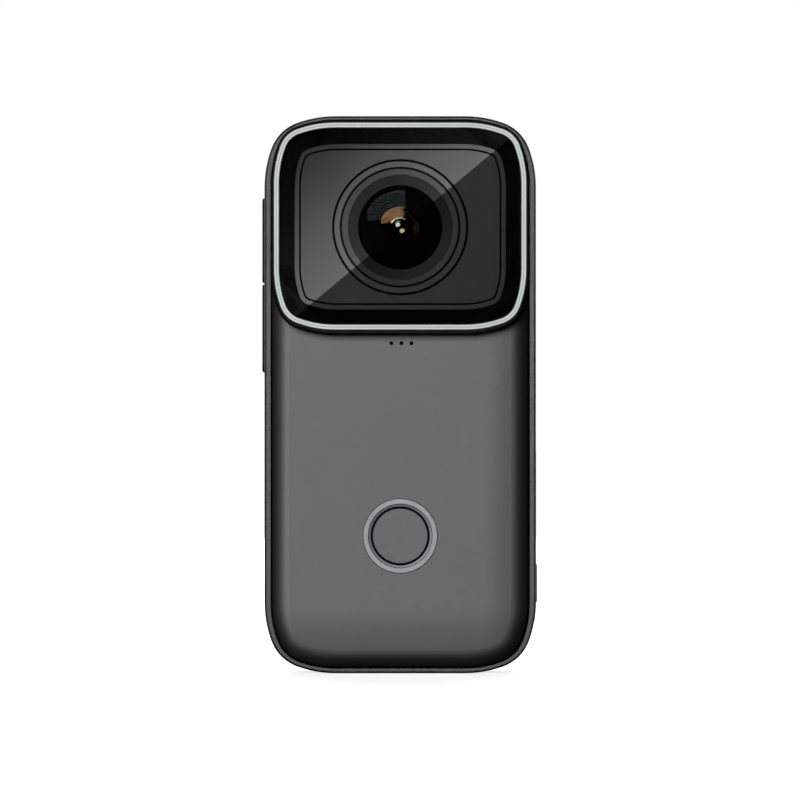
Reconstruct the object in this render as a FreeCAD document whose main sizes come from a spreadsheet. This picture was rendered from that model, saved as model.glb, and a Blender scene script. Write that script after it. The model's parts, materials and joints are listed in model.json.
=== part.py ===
import FreeCAD, Part
import Sketcher
import math
import os
import re

from FreeCAD import Vector

# A thumb-sized action camera, as an assembly of separate pieces.
# Millimetres. +X is the viewer's right when looking at the lens, -Y is the front, +Z is up.
# The origin is the centre of the tripod socket on the bottom face.

# ---------------------------------------------------------------- driving dimensions
DIMENSIONS = {
    # whole body
    "body_width": 38.5,
    "body_height": 79.0,
    "corner_end_radius": 15.9,
    "corner_mid_radius": 6.15,
    "corner_blend": 20.0,
    "band_front": -8.6,
    "band_rear": 9.6,
    "frame_wall": 1.7,
    "lip_side": 0.85,
    "lip_top": 0.45,
    "lip_bottom": 0.65,
    "ledge_front": 1.2,
    "ledge_rear": 0.7,
    "edge_round": 0.3,
    "seam": 0.05,
    "gasket_thickness": 0.4,
    "gasket_width": 0.65,
    # front cover
    "cover_front": -10.6,
    "cover_round": 2.6,
    "cover_wall": 1.2,
    "cover_hollow_top": 47.2,
    # rear cover
    "rear_face": 13.0,
    "rear_round": 3.2,
    "rear_wall": 1.4,
    # lens module
    "lens_z": 63.2,
    "bezel_front": -12.95,
    "bezel_back": -8.6,
    "bezel_half_width": 18.28,
    "bezel_bottom": 47.95,
    "bezel_top": 78.4,
    "bezel_end_radius": 16.1,
    "bezel_mid_radius": 4.5,
    "bezel_round": 0.35,
    "trim_front": -13.0,
    "trim_back": -11.8,
    "trim_floor": -11.75,
    "trim_half_width": 17.87,
    "trim_half_height": 14.66,
    "trim_z": 63.33,
    "trim_end_radius": 15.7,
    "trim_mid_radius": 3.9,
    "trim_band": 0.75,
    "trim_bevel": 0.1,
    "trim_groove_inset": 0.31,
    "trim_groove_width": 0.13,
    "trim_groove_depth": 0.06,
    "window_front": -12.75,
    "window_back": -11.95,
    "plate_front": -11.6,
    "plate_back": -10.8,
    "plate_half_width": 14.93,
    "plate_half_height": 11.69,
    "plate_z": 63.26,
    "plate_end_radius": 12.0,
    "plate_mid_radius": 1.8,
    "plate_lip": 1.3,
    "groove_inset": 0.62,
    "groove_width": 0.26,
    "groove_depth": 0.3,
    # lens
    "plate_hole_radius": 9.64,
    "collar_radius": 9.36,
    "collar_bore": 8.5,
    "barrel_radius": 8.28,
    "nose_radius": 7.43,
    "glass_radius": 5.95,
    "barrel_front": -11.55,
    "barrel_rear": 0.2,
    "barrel_neck_radius": 7.0,
    "stop_radius": 1.7,
    # record button
    "record_z": 19.5,
    "record_radius": 3.95,
    "record_ring_inner": 4.2,
    "record_ring_step": 4.53,
    "record_ring_outer": 5.28,
    "record_front": -10.5,
    "record_travel": 0.35,
    # microphone holes
    "mic_x": 0.17,
    "mic_z": 46.79,
    "mic_pitch": 1.42,
    "mic_hole_radius": 0.28,
    # side buttons
    "side_button_proud": 0.39,
    "side_button_half_width": 2.45,
    "side_button_split": 55.3,
    "side_button_top": 67.5,
    "side_button_bottom": 42.65,
    "side_button_gap": 0.12,
    "side_button_round": 0.34,
    "side_slot_gap": 0.12,
    # side door
    "door_front": -6.9,
    "door_rear": 6.15,
    "door_bottom": 7.35,
    "door_top": 31.6,
    "door_inner": 17.85,
    "door_proud": 0.05,
    "door_gap": 0.1,
    "door_boss_inner": 16.3,
    "opening_front": -6.5,
    "opening_rear": 6.1,
    "opening_bottom": 8.1,
    "opening_top": 30.85,
    "door_hinge_room": 0.45,
    "hinge_x": 18.15,
    "hinge_y": 7.45,
    "knuckle_radius": 1.1,
    "knuckle_bottom": 9.6,
    "knuckle_top": 29.4,
    "lug_radius": 0.8,
    "pin_radius": 0.45,
    "latch_bottom": 9.98,
    "latch_top": 15.5,
    "latch_proud": 0.2,
    "latch_front": -5.6,
    "latch_rear": 0.2,
    "latch_travel": 1.3,
    # battery and sockets
    "battery_left": -15.2,
    "battery_right": 16.0,
    "battery_front": -6.35,
    "battery_rear": 2.3,
    "battery_bottom": 9.2,
    "battery_top": 30.4,
    "tray_wall": 0.4,
    "board_front": 6.2,
    "board_thickness": 0.8,
    "board_half_width": 15.7,
    "board_bottom": 8.9,
    "board_top": 71.5,
    "card_bottom": 19.4,
    "card_width": 11.0,
    "card_length": 14.8,
    "card_thickness": 0.75,
    "card_front": 4.85,
    "card_travel": 0.8,
    "usb_bottom": 9.1,
    "usb_width": 8.94,
    "usb_height": 3.2,
    "usb_depth": 7.2,
    "usb_wall": 0.32,
    # display
    "display_z": 61.4,
    "display_half_width": 13.9,
    "display_half_height": 13.2,
    "display_corner": 3.0,
    "display_glass_thickness": 0.8,
    # speaker
    "speaker_z": 13.0,
    "speaker_pitch": 1.9,
    "speaker_hole_radius": 0.5,
    # tripod socket, 1/4 inch, at its tapping radius
    "tripod_radius": 2.6,
    "tripod_depth": 6.6,
    "nut_radius": 4.5,
    "nut_height": 7.5,
    "nut_flange_radius": 5.2,
    # case screws
    "screw_x": 14.6,
    "screw_low": 4.5,
    "screw_high": 74.5,
    "screw_radius": 0.65,
    "screw_head_radius": 1.3,
    "screw_seat": 7.6,
    "screw_boss_radius": 1.9,
}

doc = FreeCAD.newDocument("ActionCamera")
sheet = doc.addObject("Spreadsheet::Sheet", "Dims")
for row, (alias, size) in enumerate(DIMENSIONS.items(), start=1):
    sheet.set(f"A{row}", alias)
    sheet.set(f"B{row}", str(size))
    sheet.setAlias(f"B{row}", alias)
doc.recompute()

NODES = []


# ---------------------------------------------------------------- expressions
def bound(text):
    """The expression with each dimension's name pointed at the sheet."""
    return re.sub(r"[a-z][a-z_]+", lambda m: "Dims." + m[0] if m[0] in DIMENSIONS else m[0], str(text))


def number(text):
    """What an expression is worth now."""
    return float(sheet.evalExpression(bound(text)))


# ---------------------------------------------------------------- sketches
class Outline:
    """A closed outline with straight sides and corners of three tangent arcs, wide, tight, wide."""

    def __init__(self, half_width, bottom, top, end_radius, mid_radius):
        self.half_width, self.bottom, self.top = half_width, bottom, top
        self.end_radius, self.mid_radius = end_radius, mid_radius

    def inset(self, by):
        """The outline moved inwards by the same distance all round."""
        return Outline(
            f"{self.half_width} - ({by})",
            f"{self.bottom} + ({by})",
            f"{self.top} - ({by})",
            f"{self.end_radius} - ({by})",
            f"{self.mid_radius} - ({by})",
        )

    def draw(self, sketch):
        half_width, bottom, top = number(self.half_width), number(self.bottom), number(self.top)
        end_radius, mid_radius = number(self.end_radius), number(self.mid_radius)
        blend = math.radians(number("corner_blend"))
        corner = end_radius * (math.sin(blend) + 1 - math.cos(blend))
        corner += mid_radius * (math.cos(blend) - math.sin(blend))
        at, heading, edges = Vector(half_width, bottom + corner, 0), math.pi / 2, []
        for side in (top - bottom, 2 * half_width) * 2:
            ahead = at + Vector(math.cos(heading), math.sin(heading), 0) * (side - 2 * corner)
            edges.append(Part.LineSegment(at, ahead))
            at = ahead
            for radius, turn in (
                (end_radius, blend),
                (mid_radius, math.pi / 2 - 2 * blend),
                (end_radius, blend),
            ):
                centre = at + Vector(-math.sin(heading), math.cos(heading), 0) * radius
                begin = heading - math.pi / 2
                circle = Part.Circle(centre, Vector(0, 0, 1), radius)
                edges.append(Part.ArcOfCircle(circle, begin, begin + turn))
                heading += turn
                at = centre + Vector(math.sin(heading), -math.cos(heading), 0) * radius
        first = sketch.GeometryCount
        sketch.addGeometry(edges, False)
        count = len(edges)
        lines = [first + i for i in range(0, count, 4)]
        ends = [first + i for i in range(count) if i % 4 in (1, 3)]
        mids = [first + i for i in range(2, count, 4)]
        pairs = [(first + i, first + (i + 1) % count) for i in range(count)]
        rules = [Sketcher.Constraint("Tangent", a, 2, b, 1) for a, b in pairs]
        rules += [Sketcher.Constraint("Equal", ends[0], e) for e in ends[1:]]
        rules += [Sketcher.Constraint("Equal", mids[0], m) for m in mids[1:]]
        rules += [Sketcher.Constraint("Vertical", lines[0]), Sketcher.Constraint("Vertical", lines[2])]
        rules += [Sketcher.Constraint("Horizontal", lines[1]), Sketcher.Constraint("Horizontal", lines[3])]
        sketch.addConstraint(rules)
        dimension(sketch, "Radius", (ends[0],), self.end_radius)
        dimension(sketch, "Radius", (mids[0],), self.mid_radius)
        for e in ends:
            dimension(sketch, "Angle", (e,), "corner_blend", angle=True)
        dimension(sketch, "DistanceX", (-1, 1, lines[0], 1), self.half_width)
        dimension(sketch, "DistanceX", (lines[2], 1, -1, 1), self.half_width)
        dimension(sketch, "DistanceY", (-1, 1, lines[1], 1), self.top)
        dimension(sketch, "DistanceY", (-1, 1, lines[3], 1), self.bottom)


class Box:
    """A rectangle from (x_low, y_low) to (x_high, y_high), with round corners if a radius is given."""

    def __init__(self, x_low, x_high, y_low, y_high, radius=None):
        self.sides = (x_low, x_high, y_low, y_high)
        self.radius = radius

    def draw(self, sketch):
        x_low, x_high, y_low, y_high = (number(s) for s in self.sides)
        r = number(self.radius) if self.radius else 0.0
        first = sketch.GeometryCount
        corners = [
            (Vector(x_high, y_low, 0), Vector(x_high, y_high, 0)),
            (Vector(x_high, y_high, 0), Vector(x_low, y_high, 0)),
            (Vector(x_low, y_high, 0), Vector(x_low, y_low, 0)),
            (Vector(x_low, y_low, 0), Vector(x_high, y_low, 0)),
        ]
        step = 2 if r else 1
        edges = []
        for i, (a, b) in enumerate(corners):
            along = (b - a).normalize()
            edges.append(Part.LineSegment(a + along * r, b - along * r))
            if r:
                inward = Vector(-along.y, along.x, 0)
                circle = Part.Circle(b - along * r + inward * r, Vector(0, 0, 1), r)
                begin = (i - 1) * math.pi / 2 + math.pi / 2
                edges.append(Part.ArcOfCircle(circle, begin, begin + math.pi / 2))
        sketch.addGeometry(edges, False)
        count = len(edges)
        lines = [first + i for i in range(0, count, step)]
        join = "Tangent" if r else "Coincident"
        rules = [Sketcher.Constraint(join, first + i, 2, first + (i + 1) % count, 1) for i in range(count)]
        rules += [Sketcher.Constraint("Vertical", lines[0]), Sketcher.Constraint("Vertical", lines[2])]
        rules += [Sketcher.Constraint("Horizontal", lines[1]), Sketcher.Constraint("Horizontal", lines[3])]
        if r:
            rules += [Sketcher.Constraint("Equal", first + 1, first + i) for i in (3, 5, 7)]
        sketch.addConstraint(rules)
        if r:
            dimension(sketch, "Radius", (first + 1,), self.radius)
        dimension(sketch, "DistanceX", (-1, 1, lines[0], 1), self.sides[1])
        dimension(sketch, "DistanceX", (-1, 1, lines[2], 1), self.sides[0])
        dimension(sketch, "DistanceY", (-1, 1, lines[1], 1), self.sides[3])
        dimension(sketch, "DistanceY", (-1, 1, lines[3], 1), self.sides[2])


class Round:
    """A circle."""

    def __init__(self, x, y, radius):
        self.x, self.y, self.radius = x, y, radius

    def draw(self, sketch):
        centre = Vector(number(self.x), number(self.y), 0)
        circle = sketch.addGeometry(Part.Circle(centre, Vector(0, 0, 1), number(self.radius)), False)
        dimension(sketch, "Radius", (circle,), self.radius)
        dimension(sketch, "DistanceX", (-1, 1, circle, 3), self.x)
        dimension(sketch, "DistanceY", (-1, 1, circle, 3), self.y)


class Profile:
    """A closed profile through points, in order. A third value makes the edge that starts there an arc.

    That value is the arc's radius: positive bulges to the right of the way it runs, negative to the left.
    """

    def __init__(self, *points):
        self.points = points

    def draw(self, sketch):
        places = [Vector(number(p[0]), number(p[1]), 0) for p in self.points]
        count, first = len(places), sketch.GeometryCount
        starts, finishes, arcs, edges = [], [], [], []
        for i, (a, b) in enumerate(zip(places, places[1:] + places[:1])):
            if len(self.points[i]) < 3:
                edges.append(Part.LineSegment(a, b))
                starts.append(1)
                finishes.append(2)
                continue
            signed = number(self.points[i][2])
            chord, middle = b - a, (a + b) / 2
            left = Vector(-chord.y, chord.x, 0).normalize()
            reach = math.sqrt(signed**2 - (chord.Length / 2) ** 2)
            centre = middle + left * math.copysign(reach, signed)
            low, high = (a, b) if signed > 0 else (b, a)
            begin = math.atan2(low.y - centre.y, low.x - centre.x)
            end = math.atan2(high.y - centre.y, high.x - centre.x)
            edges.append(
                Part.ArcOfCircle(
                    Part.Circle(centre, Vector(0, 0, 1), abs(signed)),
                    begin,
                    end if end > begin else end + 2 * math.pi,
                )
            )
            arcs.append((first + i, f"abs({self.points[i][2]})"))
            starts.append(1 if signed > 0 else 2)
            finishes.append(2 if signed > 0 else 1)
        sketch.addGeometry(edges, False)
        for i in range(count):
            after = (i + 1) % count
            rule = ("Coincident", first + i, finishes[i], first + after, starts[after])
            sketch.addConstraint(Sketcher.Constraint(*rule))
        for edge, radius in arcs:
            dimension(sketch, "Radius", (edge,), radius)
        for i, point in enumerate(self.points):
            dimension(sketch, "DistanceX", (-1, 1, first + i, starts[i]), point[0])
            dimension(sketch, "DistanceY", (-1, 1, first + i, starts[i]), point[1])


def dimension(sketch, kind, what, text, angle=False):
    """A sketch dimension tied to the sheet."""
    size = math.radians(number(text)) if angle else number(text)
    index = sketch.addConstraint(Sketcher.Constraint(kind, *what, size))
    sketch.renameConstraint(index, f"size{index}")
    sketch.setExpression(f"Constraints.size{index}", bound(text) + (" * 1 deg" if angle else ""))


# A sketch plane: the origin plane's role, and whether its normal runs against the row's axis.
PLANES = {"front": ("XZ_Plane", True), "side": ("YZ_Plane", False), "top": ("XY_Plane", False)}


def new_sketch(body, plane, shapes, across="0", up="0", out="0"):
    role = PLANES[plane][0]
    sketch = body.newObject("Sketcher::SketchObject", f"{body.Name}_sketch")
    origin_plane = next(f for f in body.Origin.OriginFeatures if f.Role == role)
    sketch.AttachmentSupport = (origin_plane, [""])
    sketch.MapMode = "FlatFace"
    for axis, text in zip("xyz", (across, up, out)):
        sketch.setExpression(f"AttachmentOffset.Base.{axis}", bound(text))
    for shape in shapes if isinstance(shapes, (list, tuple)) else [shapes]:
        shape.draw(sketch)
    return sketch


# ---------------------------------------------------------------- features
def new_body(name):
    body = doc.addObject("PartDesign::Body", name)
    body.Label = name
    NODES.append(body)
    return body


def add(body, plane, shapes, low, high):
    """Material between two places along the plane's own axis."""
    against = PLANES[plane][1]
    sketch = new_sketch(body, plane, shapes, out=f"-({high})" if against else low)
    pad = body.newObject("PartDesign::Pad", f"{body.Name}_pad")
    pad.Profile = sketch
    pad.setExpression("Length", bound(f"{high} - ({low})"))
    doc.recompute()
    return pad


def cut(body, plane, shapes, low, high):
    """A hole between two places along the plane's own axis. It has to remove something."""
    before = body.Shape.Volume
    against = PLANES[plane][1]
    sketch = new_sketch(body, plane, shapes, out=f"-({low})" if against else high)
    pocket = body.newObject("PartDesign::Pocket", f"{body.Name}_pocket")
    pocket.Profile = sketch
    pocket.setExpression("Length", bound(f"{high} - ({low})"))
    doc.recompute()
    if not body.Shape.Volume < before - 1e-6:
        raise ValueError(f"{pocket.Name} removed nothing from {body.Label}")
    return pocket


def turn(body, profile, up="0", plane="side", groove=False):
    """A profile of (place along the axis, radius), turned about a horizontal axis or about Z."""
    before = body.Shape.Volume if groove else 0.0
    sketch = new_sketch(body, plane, profile, up=up)
    kind = "Groove" if groove else "Revolution"
    feature = body.newObject(f"PartDesign::{kind}", f"{body.Name}_turn")
    feature.Profile = sketch
    feature.ReferenceAxis = (sketch, ["H_Axis" if plane == "side" else "V_Axis"])
    feature.Angle = 360.0
    doc.recompute()
    if groove and not body.Shape.Volume < before - 1e-6:
        raise ValueError(f"{feature.Name} removed nothing from {body.Label}")
    return feature


def on_plane(axis, text, keep=lambda edge: True):
    """Picks the edges that lie at one place along an axis."""
    place = number(text)

    def lies_there(edge):
        return all(abs(getattr(v.Point, axis) - place) < 1e-4 for v in edge.Vertexes) and keep(edge)

    return lies_there


def dress(body, kind, size, pick):
    """A fillet or chamfer on the picked edges of the body as it stands."""
    base = body.Tip
    names = [f"Edge{i}" for i, edge in enumerate(base.Shape.Edges, start=1) if pick(edge)]
    if not names:
        raise ValueError(f"no edge picked on {body.Label}")
    feature = body.newObject(f"PartDesign::{kind}", f"{body.Name}_{kind.lower()}")
    feature.Base = (base, names)
    feature.setExpression("Radius" if kind == "Fillet" else "Size", bound(size))
    doc.recompute()
    return feature


# ---------------------------------------------------------------- shared outlines
BODY = Outline("body_width / 2", "0", "body_height", "corner_end_radius", "corner_mid_radius")
LIP = Outline(
    "body_width / 2 - lip_side",
    "lip_bottom",
    "body_height - lip_top",
    "corner_end_radius - lip_side",
    "corner_mid_radius - lip_side",
)
COVER = LIP.inset("seam")
BORE = Outline(
    "body_width / 2 - frame_wall",
    "frame_wall",
    "body_height - frame_wall + 0.2",
    "corner_end_radius - frame_wall",
    "corner_mid_radius - frame_wall",
)
BEZEL = Outline("bezel_half_width", "bezel_bottom", "bezel_top", "bezel_end_radius", "bezel_mid_radius")
TRIM = Outline(
    "trim_half_width",
    "trim_z - trim_half_height",
    "trim_z + trim_half_height",
    "trim_end_radius",
    "trim_mid_radius",
)
PLATE = Outline(
    "plate_half_width",
    "plate_z - plate_half_height",
    "plate_z + plate_half_height",
    "plate_end_radius",
    "plate_mid_radius",
)
SCREWS = [(x, z) for z in ("screw_low", "screw_high") for x in ("screw_x", "-screw_x")]


def holes(places, radius):
    return [Round(x, z, radius) for x, z in places]


# ---------------------------------------------------------------- chassis
def mid_frame():
    """The band all round the camera, with its door frame, hinge lugs, screw bosses and tripod boss."""
    body = new_body("mid_frame")
    add(body, "front", BODY, "band_front", "band_rear")
    dress(body, "Fillet", "edge_round", on_plane("y", "band_front"))
    dress(body, "Fillet", "2 * edge_round", on_plane("y", "band_rear"))
    cut(body, "front", BORE, "band_front - 1", "band_rear + 1")
    cut(body, "front", LIP, "band_front - 1", "band_front + ledge_front")
    cut(body, "front", LIP, "band_rear - ledge_rear", "band_rear + 1")
    add(body, "front", holes(SCREWS, "screw_boss_radius"), "band_front + ledge_front", "screw_seat")
    cut(body, "front", holes(SCREWS, "screw_radius + 0.1"), "band_front", "band_rear")
    # tripod boss and the seat for its nut
    add(body, "top", Box("-7.5", "7.5", "-6.4", "6.4", "1.5"), "1", "nut_height + 1.1")
    nut_seat = Round("0", "0", "nut_radius + 0.02")
    cut(body, "top", nut_seat, "-1", "nut_height + 0.02")
    cut(body, "top", Round("0", "0", "nut_flange_radius + 0.02"), "-1", "0.82")
    # door frame, thicker than the band's wall
    door_block = Box("band_front + ledge_front", "band_rear - ledge_rear", "6.1", "33")
    add(body, "side", door_block, "16.2", "18.3")
    recess = Box("door_front - door_gap", "hinge_y", "door_bottom - door_gap", "door_top + door_gap")
    cut(body, "side", recess, "door_inner - 0.05", "21")
    opening = Box("opening_front", "opening_rear", "opening_bottom", "opening_top", "0.6")
    cut(body, "side", opening, "15", "21")
    # the hinge: a pocket for the door's knuckle, two lugs, and one bore for the pin
    knuckle_room = ("knuckle_bottom - 0.2", "knuckle_top + 0.2")
    cut(body, "top", Round("hinge_x", "hinge_y", "knuckle_radius + 0.2"), *knuckle_room)
    cut(body, "top", Box("hinge_x", "21", "hinge_y - 0.5", "hinge_y + 1.35"), *knuckle_room)
    lug = Round("hinge_x", "hinge_y", "lug_radius")
    add(body, "top", lug, "door_bottom - door_gap - 0.2", "knuckle_bottom - 0.2")
    add(body, "top", lug, "knuckle_top + 0.2", "door_top + door_gap + 0.5")
    cut(body, "top", Round("hinge_x", "hinge_y", "pin_radius + 0.02"), "7.5", "door_top - 0.5")
    # keeper that takes the latch's tongue
    cut(body, "side", Box("-4.9", "-0.5", "6.9", "8.3"), "16.7", "17.75")
    # slot for the two side buttons
    slot = Box(
        "-side_button_half_width - side_slot_gap",
        "side_button_half_width + side_slot_gap",
        "side_button_bottom - side_slot_gap",
        "side_button_top + side_slot_gap",
        "1.2",
    )
    cut(body, "side", slot, "-21", "-16")


def gasket(name, low, high):
    """A flat seal on the ledge inside the band's lip."""
    body = new_body(name)
    seal = LIP.inset("seam")
    add(body, "front", seal, low, high)
    cut(body, "front", seal.inset("gasket_width"), f"{low} - 1", f"{high} + 1")


def front_cover():
    """The front shell: soft edges, a flat seat for the lens module, and the record button's hole."""
    body = new_body("front_cover")
    rim = "band_front + ledge_front - gasket_thickness"
    add(body, "front", COVER, "cover_front", rim)
    dress(body, "Fillet", "cover_round", on_plane("y", "cover_front"))
    cut(body, "front", BEZEL.inset("-seam"), "cover_front - 1", "bezel_back")
    hollow = Outline(
        "body_width / 2 - lip_side - seam - cover_wall",
        "lip_bottom + seam + cover_wall",
        "cover_hollow_top",
        "corner_end_radius - lip_side - cover_wall",
        "corner_mid_radius - lip_side - cover_wall",
    )
    cut(body, "front", hollow, "cover_front + cover_wall", "0")
    lens_room = Box("-12.6", "12.6", "lens_z - 9.8", "lens_z + 9.8", "2")
    cut(body, "front", lens_room, "bezel_back - 1", "0")
    low_screws, high_screws = SCREWS[:2], SCREWS[2:]
    bosses = holes(low_screws, "screw_boss_radius - 0.5")
    add(body, "front", bosses, "cover_front + 0.9", "band_front + ledge_front")
    cut(body, "front", holes(low_screws, "screw_radius + 0.03"), "cover_front + 0.95", "0")
    cut(body, "front", holes(high_screws, "screw_radius + 0.1"), "bezel_back - 1", "0")
    cut(body, "front", Round("0", "record_z", "record_ring_outer + 0.04"), "cover_front - 1", "0")
    mics = [(f"mic_x{step}", "mic_z") for step in (" - mic_pitch", "", " + mic_pitch")]
    cut(body, "front", holes(mics, "mic_hole_radius"), "cover_front - 1", "0")


def rear_cover():
    """The rear shell, with the display's seat and the speaker's holes."""
    body = new_body("rear_cover")
    rim = "band_rear - ledge_rear + gasket_thickness"
    add(body, "front", COVER, rim, "rear_face")
    dress(body, "Fillet", "rear_round", on_plane("y", "rear_face"))
    cut(body, "front", COVER.inset("cover_wall"), "0", "rear_face - rear_wall")
    seat = display_box("seam", "display_corner + seam")
    cut(body, "front", seat, "rear_face - display_glass_thickness - 0.15", "rear_face + 1")
    cut(body, "front", display_box("-1.3", "display_corner - 1"), "0", "rear_face + 1")
    grille = [(f"{i} * speaker_pitch", "speaker_z") for i in range(-2, 3)]
    grille += [(f"{i - 0.5} * speaker_pitch", "speaker_z - 1.6") for i in range(-1, 3)]
    cut(body, "front", holes(grille, "speaker_hole_radius"), "0", "rear_face + 1")


def case_screws():
    """Four long screws from the rear, through the band's bosses and into the front."""
    body = new_body("case_screws")
    add(body, "front", holes(SCREWS, "screw_head_radius"), "screw_seat", "screw_seat + 0.75")
    add(body, "front", holes(SCREWS[:2], "screw_radius"), "cover_front + 1.2", "screw_seat")
    add(body, "front", holes(SCREWS[2:], "screw_radius"), "bezel_front + 2.5", "screw_seat")
    for x, z in SCREWS:
        flat = Box(f"{x} - 0.75", f"{x} + 0.75", f"{z} - 0.15", f"{z} + 0.15")
        upright = Box(f"{x} - 0.15", f"{x} + 0.15", f"{z} - 0.75", f"{z} + 0.75")
        cut(body, "front", flat, "screw_seat + 0.35", "screw_seat + 1")
        cut(body, "front", upright, "screw_seat + 0.35", "screw_seat + 1")


def tripod_nut():
    """The metal nut for a 1/4 inch tripod screw, open at the bottom face."""
    body = new_body("tripod_nut")
    turn(
        body,
        Profile(
            ("tripod_radius + 0.4", "0.02"),
            ("nut_flange_radius", "0.02"),
            ("nut_flange_radius", "0.8"),
            ("nut_radius", "0.8"),
            ("nut_radius", "nut_height"),
            ("0", "nut_height"),
            ("0", "tripod_depth"),
            ("tripod_radius", "tripod_depth"),
            ("tripod_radius", "0.42"),
        ),
        plane="front",
    )


# ---------------------------------------------------------------- lens module
def lens_bezel():
    """The raised black housing that carries the trim, the window and the lens surround."""
    body = new_body("lens_bezel")
    add(body, "front", BEZEL, "bezel_front", "bezel_back")
    dress(body, "Fillet", "bezel_round", on_plane("y", "bezel_front"))
    cut(body, "front", TRIM.inset("-0.03"), "bezel_front - 1", "trim_floor")
    cut(body, "front", PLATE.inset("-seam"), "bezel_front", "plate_back")
    cut(body, "front", PLATE.inset("plate_lip"), "bezel_front", "0")
    cut(body, "front", holes(SCREWS[2:], "screw_radius + 0.03"), "bezel_front + 2.3", "0")


def bezel_trim():
    """The bright ring round the window: a flat crest with a fine groove along its middle."""
    body = new_body("bezel_trim")
    add(body, "front", TRIM, "trim_front", "trim_back")
    cut(body, "front", TRIM.inset("trim_band"), "trim_front - 1", "0")
    dress(body, "Chamfer", "trim_bevel", on_plane("y", "trim_front"))
    groove = [TRIM.inset("trim_groove_inset"), TRIM.inset("trim_groove_inset + trim_groove_width")]
    cut(body, "front", groove, "trim_front - 1", "trim_front + trim_groove_depth")


def window_glass():
    """The flat cover glass."""
    body = new_body("window_glass")
    add(body, "front", TRIM.inset("trim_band + 0.03"), "window_front", "window_back")
    dress(body, "Chamfer", "0.12", on_plane("y", "window_front"))


def window_seal():
    """The black adhesive frame behind the glass, which hides the bezel's floor."""
    body = new_body("window_seal")
    add(body, "front", TRIM.inset("trim_band + 0.1"), "window_back", "trim_floor")
    cut(body, "front", PLATE.inset("-0.02"), "window_back - 1", "0")


def lens_surround():
    """The grey plate behind the glass, with a groove near its edge."""
    body = new_body("lens_surround")
    add(body, "front", PLATE, "plate_front", "plate_back")
    cut(body, "front", Round("0", "lens_z", "plate_hole_radius"), "plate_front - 1", "0")
    groove = [PLATE.inset("groove_inset"), PLATE.inset("groove_inset + groove_width")]
    cut(body, "front", groove, "plate_front - 1", "plate_front + groove_depth")


def lens_collar():
    """The ring between the plate and the lens barrel."""
    body = new_body("lens_collar")
    turn(
        body,
        Profile(
            ("plate_front - 0.02", "collar_bore + 0.1"),
            ("plate_front - 0.02", "collar_radius - 0.1"),
            ("plate_front + 0.08", "collar_radius"),
            ("plate_back", "collar_radius"),
            ("plate_back", "collar_radius + 1"),
            ("plate_back + 0.9", "collar_radius + 1"),
            ("plate_back + 0.9", "barrel_radius + 0.02"),
            ("plate_back", "barrel_radius + 0.02"),
            ("plate_back", "collar_bore"),
            ("plate_front + 0.08", "collar_bore"),
        ),
        up="lens_z",
    )


def lens_barrel():
    """The barrel that holds the glass, stepped inside for each element."""
    body = new_body("lens_barrel")
    turn(
        body,
        Profile(
            ("barrel_front + 0.1", "barrel_radius"),
            ("-5", "barrel_radius"),
            ("-5", "barrel_neck_radius"),
            ("barrel_rear", "barrel_neck_radius"),
            ("barrel_rear", "3.2"),
            ("-2.6", "3.2"),
            ("-2.6", "2.72"),
            ("-6.3", "2.72"),
            ("-6.3", "3.9"),
            ("-6.9", "3.9"),
            ("-6.9", "4.9"),
            ("-8.2", "4.9"),
            ("-8.2", "glass_radius + 0.03"),
            ("-9.3", "glass_radius + 0.03"),
            ("-9.3", "nose_radius + 0.02"),
            ("barrel_front + 0.25", "nose_radius + 0.02"),
            ("barrel_front", "barrel_radius - 0.12"),
        ),
        up="lens_z",
    )


def lens_retainer():
    """The dished ring that holds the front element."""
    body = new_body("lens_retainer")
    turn(
        body,
        Profile(
            ("barrel_front + 0.3", "nose_radius - 0.02"),
            ("-9.3", "nose_radius - 0.02"),
            ("-9.3", "glass_radius + 0.03"),
            ("-10.0", "glass_radius + 0.03"),
            ("-10.0", "5.78"),
            ("barrel_front + 1.35", "5.78"),
        ),
        up="lens_z",
    )


def lens_element(name, front, rear, radius, faces):
    """A glass disc shaped by balls on the lens axis: kept inside convex ones, hollowed by concave ones."""
    shape = doc.addObject("Part::Cylinder", f"{name}_blank")
    shape.Placement.Rotation = FreeCAD.Rotation(Vector(1, 0, 0), -90)
    shape.setExpression("Radius", bound(radius))
    shape.setExpression("Height", bound(f"{rear} - ({front})"))
    shape.setExpression(".Placement.Base.y", bound(front))
    shape.setExpression(".Placement.Base.z", bound("lens_z"))
    for kind, centre, ball_radius in faces:
        ball = doc.addObject("Part::Sphere", f"{name}_ball")
        ball.setExpression("Radius", bound(ball_radius))
        ball.setExpression(".Placement.Base.y", bound(centre))
        ball.setExpression(".Placement.Base.z", bound("lens_z"))
        joined = doc.addObject("Part::Common" if kind == "convex" else "Part::Cut", f"{name}_{kind}")
        joined.Base, joined.Tool = shape, ball
        shape = joined
    doc.recompute()
    shape.Label = name
    NODES.append(shape)


def lens_elements():
    """Four glass elements, front to rear."""
    front_faces = [("convex", "-11.55 + 10.4", "10.4"), ("concave", "-5.76", "4.6")]
    lens_element("front_element", "-12", "-8.2", "glass_radius", front_faces)
    second_faces = [("convex", "-9.2 + 6.2", "6.2"), ("concave", "-2.2", "5.6")]
    lens_element("second_element", "-10", "-6.9", "4.85", second_faces)
    third_faces = [("convex", "-7.3 + 3", "3")]
    lens_element("third_element", "-8", "-5", "2.7", third_faces)
    rear_faces = [("convex", "-2.3 + 6", "6"), ("convex", "0.1 - 9", "9")]
    lens_element("rear_element", "-3", "1", "3.17", rear_faces)


def aperture_stop():
    """A thin black disc with the lens's stop."""
    body = new_body("aperture_stop")
    turn(
        body,
        Profile(("-4.0", "stop_radius"), ("-4.0", "2.7"), ("-3.8", "2.7"), ("-3.8", "stop_radius")),
        up="lens_z",
    )


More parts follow.
